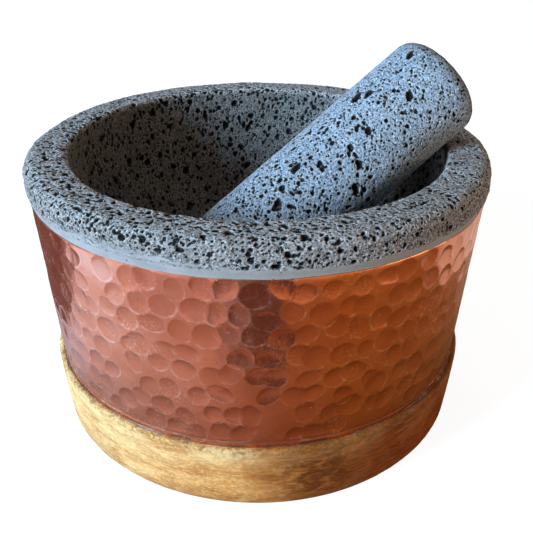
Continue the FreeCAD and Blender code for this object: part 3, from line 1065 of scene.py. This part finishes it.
def wood():
    """Varnished golden wood: mottled fibres and flecks, heartwood and painted shade darkening the right,
    painted light and glints at the left, pale patches, stains.
    """
    s = Shader("varnished_wood")
    across = s.axis(s.place, 0)
    height = s.axis(s.place, 2)
    cloud = s.noise(6, 5.0, 0.7, 0.8, s.stretched(0.35))
    fibre = s.noise(1.4, 5.0, 0.75, 0.3, s.stretched(0.15))
    fleck = s.noise(0.9, 4.0, 0.75, 0.0, s.stretched(0.5))
    pale_cover = s.noise(8, 5.0, 0.7, 0.6, s.stretched(0.35))
    figure = s.noise(4.5, 5.0, 0.8, 1.5, s.stretched(0.4))
    uneven = s.span(s.noise(26, 3.0, 0.6, 0.8), 0.3, 0.7, -0.22, 0.22)
    # Paler at the left and darker at the right: partly the wood's own heartwood, partly painted light on the
    # left and painted shade on the right.
    rightwards = s.span(across, -85 * MM, -15 * MM)
    light = s.mix(rightwards, paint(236, 192, 134), paint(218, 152, 84))
    dark = s.mix(rightwards, paint(206, 144, 82), paint(186, 112, 50))
    heart_and_shade_tone = s.mix(s.span(fibre, 0.35, 0.65), paint(158, 72, 4), paint(104, 40, 1))
    heartwood_and_shade = s.plus(s.span(across, -16 * MM, 42 * MM, 0.0, 0.96), uneven)
    sapwood_and_lit_side = s.span(heartwood_and_shade, 0.55, 0.15)
    from_knot = s.add("VectorMath", {0: s.place, 1: KNOT_PLACE}, operation="DISTANCE")
    knot = s.span(from_knot.outputs["Value"], 24 * MM, 9 * MM)
    near_band = s.span(height, BAND_LOW - 14 * MM, BAND_LOW - 3 * MM)
    pale = s.times(s.span(pale_cover, 0.44, 0.64), near_band, s.span(sapwood_and_lit_side, 0.0, 1.0, 0.25))
    under_band = s.span(height, BAND_LOW - 4.5 * MM, BAND_LOW - 1.0 * MM)
    darkened = s.times(s.span(s.noise(1.8, 4.0, 0.8), 0.46, 0.60), under_band)
    foot = s.plus(s.span(height, 8 * MM, 0.5 * MM), s.span(cloud, 0.4, 0.6, -0.2, 0.2))
    tone = s.coats(
        s.mix(s.span(cloud, 0.36, 0.66), light, dark),
        (heartwood_and_shade, 1.0, heart_and_shade_tone),
        (s.span(fibre, 0.46, 0.62), 0.252, paint(96, 52, 16)),
        (s.span(fleck, 0.54, 0.66), 0.375, paint(78, 42, 14)),
        # Painted glints: pale flecks on the lit left side.
        (s.times(s.span(fleck, 0.46, 0.36), sapwood_and_lit_side), 0.35, paint(248, 214, 158)),
        (s.times(s.span(figure, 0.40, 0.54), knot), 0.85, paint(86, 38, 8)),
        (pale, 0.42, paint(250, 216, 158)),
        (darkened, 0.7, paint(92, 66, 30)),
        (foot, 0.6, paint(124, 66, 28)),
    )
    s.set(Base_Color=tone, Roughness=s.span(fleck, 0.3, 0.7, 0.5, 0.68))
    s.set(Specular_IOR_Level=0.14, Specular_Tint=(1.0, 0.66, 0.36, 1.0))
    s.bump(fibre, 0.08, 0.5)
    s.bump(fleck, 0.10, 0.5)
    return s.material


def grout():
    """Smoothed grey grout: faint clouds, trowel lines, pinholes, warmer at the right."""
    s = Shader("grey_grout")
    cloud = s.noise(9, 4.0, 0.6)
    pinhole = s.dots(2.6, (0.13, 0.08), (0.62, 0.70))
    tone = s.coats(
        GROUT_PALE,
        (s.span(cloud, 0.35, 0.7), 1.0, paint(130, 124, 121)),
        (s.span(s.axis(s.place, 0), -40 * MM, 40 * MM), 0.9, paint(146, 133, 119)),
        (s.span(s.noise(0.6, 3.0, 0.7), 0.62, 0.78), 0.4, paint(86, 88, 92)),
        # Painted shade in the pinholes.
        (pinhole, 0.8, paint(50, 52, 54)),
    )
    s.set(Base_Color=tone, Roughness=s.span(cloud, 0.3, 0.7, 0.55, 0.75))
    s.bump(s.noise(1.6, 3.0, 0.6, 0.0, s.stretched(0.3)), 0.12, 0.5)
    s.bump(s.maths("SUBTRACT", 1.0, pinhole), 0.3, 0.8)
    return s.material


def solder():
    """Dull grey tin solder with brown clouds."""
    s = Shader("dull_solder")
    s.clouded(s.noise(3, 4.0, 0.65), (0.35, 0.7), paint(168, 164, 158), paint(120, 106, 94), (0.34, 0.55))
    s.set(Metallic=1.0)
    s.bump(s.noise(1.1, 3.0, 0.6), 0.1, 0.6)
    return s.material


def resin():
    """Clear cured adhesive, slightly yellowed and cloudy."""
    s = Shader("clear_resin")
    s.clouded(s.noise(4, 3.0, 0.6), (0.4, 0.65), paint(224, 176, 140), paint(190, 130, 92), (0.28, 0.45))
    s.set(Transmission_Weight=0.9, IOR=1.45, Specular_IOR_Level=0.1)
    s.bump(s.noise(1.2), 0.1, 0.4)
    return s.material


def adhesive():
    """The hidden bedding adhesive: buff, matt, gritty."""
    s = Shader("bedding_adhesive")
    s.clouded(s.noise(5, 4.0, 0.6), (0.35, 0.7), paint(196, 186, 166), paint(168, 156, 134), (0.6, 0.8))
    s.bump(s.noise(0.8, 3.0, 0.6), 0.1, 0.5)
    return s.material


# -------------------- placing the pieces

PIECES = (
    # shape, material, body, slot in the record, and the CAD node that the piece stands for
    (make_bowl, mortar_basalt, "mortar", "mortar_basalt", "stone_bowl"),
    (make_pestle, pestle_basalt, "pestle", "pestle_basalt", "pestle"),
    (make_band, copper, "mortar", "hammered_copper", "copper_band"),
    (make_solder, solder, "mortar", "solder", "seam_solder"),
    (make_base, wood, "mortar", "varnished_wood", "wood_base"),
    (make_grout, grout, "mortar", "grout", "band_grout"),
    (make_resin, resin, "mortar", "clear_resin", "resin_fillet"),
)


def dress(piece, material):
    """Gives a piece its material."""
    piece.data.materials.clear()
    piece.data.materials.append(material)


def make_pieces():
    """All the pieces of the object. The hidden adhesive keeps its CAD mesh."""
    for shape, material, body, slot, node in PIECES:
        piece = shape()
        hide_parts(node)
        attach(piece, body)
        dress(piece, material())
    dress(frame["nodes"]["foot_adhesive"], adhesive())


# -------------------- stage, light and camera

MIRRORED_TABLE = (
    # bearing round the bowl from the front (-Y), positive to the right, in degrees, and its colour
    (-180.0, (0.50, 0.42, 0.40)),
    (-110.0, (0.78, 0.72, 0.82)),
    (-76.0, (1.00, 1.02, 1.25)),
    (-40.0, (0.74, 0.62, 0.66)),
    (-14.0, (0.62, 0.40, 0.34)),
    (8.0, (0.42, 0.21, 0.11)),
    (30.0, (0.34, 0.155, 0.04)),
    (95.0, (0.29, 0.14, 0.055)),
    (130.0, (0.40, 0.28, 0.20)),
    (180.0, (0.50, 0.42, 0.40)),
)

MIRRORED_THINGS = (
    # first and last bearing in degrees, distance from the middle in metres, softness of the sides, colour
    (-170.0, -84.0, 0.150, 5.0, (0.24, 0.115, 0.10)),
    (-15.0, -5.0, 0.180, 1.0, (0.34, 0.28, 0.32)),
    (-6.5, 11.0, 0.166, 1.0, (0.15, 0.085, 0.075)),
    (79.0, 128.0, 0.214, 1.5, (0.80, 0.60, 0.50)),
    (-84.0, -55.0, 0.228, 6.0, (1.15, 1.60, 2.35)),
    (-54.0, -14.0, 0.214, 8.0, (0.64, 0.49, 0.56)),
    (-82.0, -15.0, 0.330, 4.0, (1.25, 1.05, 1.15)),
    (11.0, 79.0, 0.340, 3.0, (0.95, 0.55, 0.30)),
)

NEAR_EDGE = 4 * MM


def mirrored_table(s):
    """What the copper mirrors, painted on a glowing floor: a table painted as lit from the left and brown at
    the right, darker near the bowl as painted shadow and brighter far off, with a few things beyond it.
    """
    back = s.times(s.axis(s.place, 1), -1.0)
    bearing = s.times(s.maths("ARCTAN2", s.axis(s.place, 0), back), 180.0 / math.pi)
    ramp = s.add("ValToRGB", {0: s.span(bearing, -180.0, 180.0)})
    stops = ramp.color_ramp.elements
    while len(stops) < len(MIRRORED_TABLE):
        stops.new(0.5)
    for stop, (degrees, colour) in zip(stops, MIRRORED_TABLE):
        stop.position = (degrees + 180.0) / 360.0
        stop.color = (*colour, 1.0)
    distance = s.add("VectorMath", {0: s.place}, operation="LENGTH").outputs["Value"]
    # Painted shadow near the bowl, painted light far off.
    near = s.span(distance, 0.105, 0.165, 0.42, 1.0)
    far = s.span(distance, 0.20, 0.50, 1.0, 2.4)
    seen = s.mix(1.0, ramp.outputs["Color"], s.times(near, far), "MULTIPLY")
    for first, last, beyond, soft, colour in MIRRORED_THINGS:
        sides = s.times(s.span(bearing, first, first + soft), s.span(bearing, last, last - soft))
        cover = s.times(sides, s.span(distance, beyond, beyond + NEAR_EDGE))
        seen = s.mix(cover, seen, (*colour, 1.0))
    return s.add("Emission", {"Color": seen}).outputs[0]


WHITE = (1.0, 1.0, 1.0, 1.0)
FLOOR_HALF = 3.0
FLOOR_LEVEL = -0.3 * MM
FLOOR_GLOW = 1.16
FLOOR_GLOW_SHARE = 0.80


def make_floor():
    """A pale floor. Glossy rays see a darker table instead, a glowing painted reflection, as polished metal
    needs contrast to show.
    """
    mesh = bpy.data.meshes.new("floor")
    corners = ((-1, -1), (1, -1), (1, 1), (-1, 1))
    mesh.from_pydata([(x * FLOOR_HALF, y * FLOOR_HALF, FLOOR_LEVEL) for x, y in corners], [], [(0, 1, 2, 3)])
    floor = bpy.data.objects.new("floor", mesh)
    bpy.context.scene.collection.objects.link(floor)
    s = Shader("floor")
    s.set(Base_Color=(0.80, 0.80, 0.80, 1.0), Roughness=0.9, Specular_IOR_Level=0.0)
    plain = s.surface.outputs[0]
    glow = s.add("Emission", {"Color": WHITE, "Strength": FLOOR_GLOW}).outputs[0]
    lifted = s.add("MixShader", {0: FLOOR_GLOW_SHARE, 1: plain, 2: glow}).outputs[0]
    ray = s.add("LightPath").outputs
    shown = s.add("MixShader", {0: ray["Is Camera Ray"], 1: plain, 2: lifted}).outputs[0]
    final = s.add("MixShader", {0: ray["Is Glossy Ray"], 1: shown, 2: mirrored_table(s)}).outputs[0]
    s.feed(s.tree.nodes["Material Output"].inputs["Surface"], final)
    mesh.materials.append(s.material)


def make_world():
    """Soft surroundings: dim at the left, warmer and brighter at the right, and white to the camera."""
    world = bpy.data.worlds.new("studio")
    bpy.context.scene.world = world
    world.use_nodes = True
    s = Nodes(world.node_tree)
    rightwards = s.span(s.axis(s.add("TexCoord").outputs["Generated"], 0), -0.7, 0.6)
    sky = s.mix(rightwards, (0.085, 0.084, 0.080, 1.0), (0.27, 0.22, 0.175, 1.0))
    on_camera = s.add("LightPath").outputs["Is Camera Ray"]
    background = s.tree.nodes["Background"]
    s.feed(background.inputs["Color"], s.mix(on_camera, sky, WHITE))
    s.feed(background.inputs["Strength"], 1.0)


LIGHTS = (
    # name, bearing from the front (positive to the right) and height in degrees, distance and size in metres,
    # power in watts and colour
    ("window", -54.5, 14.8, 2.4, (0.60, 0.95), 150.0, (0.47, 0.73, 1.0)),
    ("skylight", -60.0, 78.0, 1.5, (0.8, 0.8), 1.7, (1.0, 0.98, 0.98)),
    ("far_window", -165.0, 14.0, 1.2, (0.4, 0.2), 6.0, (0.60, 0.80, 1.0)),
    ("glow", 75.0, 12.0, 1.2, (0.7, 0.5), 3.6, (1.0, 0.76, 0.50)),
)


def make_lights():
    """Rectangular soft lights, all aimed at the middle of the rim."""
    for name, bearing_deg, height_deg, distance, size, power, colour in LIGHTS:
        lamp = bpy.data.lights.new(name, "AREA")
        lamp.shape = "RECTANGLE"
        lamp.size, lamp.size_y = size
        lamp.energy = power
        lamp.color = colour
        light = bpy.data.objects.new(name, lamp)
        bearing, height = math.radians(bearing_deg), math.radians(height_deg)
        away = Vector((math.sin(bearing), -math.cos(bearing), math.tan(height))).normalized()
        light.location = Vector((0.0, 0.0, RIM_TOP)) + away * distance
        light.rotation_euler = away.to_track_quat("Z", "Y").to_euler()
        bpy.context.scene.collection.objects.link(light)


CAMERA_DISTANCE = 323.8 * MM
CAMERA_ELEVATION_DEG = 19.04
CAMERA_TILT_DEG = 29.0
CAMERA_PAN_DEG = 0.74
CAMERA_ROLL_DEG = 0.25
CAMERA_LENS_MM = 48.9
CAMERA_SENSOR_MM = 36.0
CAMERA_NEAR = 10 * MM


def make_camera():
    """A phone-like close view from the front, a little above the rim."""
    camera = bpy.data.objects.new("camera", bpy.data.cameras.new("camera"))
    camera.data.lens = CAMERA_LENS_MM
    camera.data.sensor_width = CAMERA_SENSOR_MM
    camera.data.clip_start = CAMERA_NEAR
    elevation = math.radians(CAMERA_ELEVATION_DEG)
    pan = Matrix.Rotation(math.radians(-CAMERA_PAN_DEG), 4, "Z")
    tilt = Matrix.Rotation(math.radians(90.0 - CAMERA_TILT_DEG), 4, "X")
    roll = Matrix.Rotation(math.radians(CAMERA_ROLL_DEG), 4, "Z")
    camera.matrix_world = pan @ tilt @ roll
    away = Vector((0.0, -math.cos(elevation), math.sin(elevation)))
    camera.location = Vector((0.0, 0.0, RIM_TOP)) + away * CAMERA_DISTANCE
    bpy.context.scene.collection.objects.link(camera)
    bpy.context.scene.camera = camera


make_pieces()
make_floor()
make_world()
make_lights()
make_camera()
bpy.context.scene.view_settings.view_transform = "Standard"
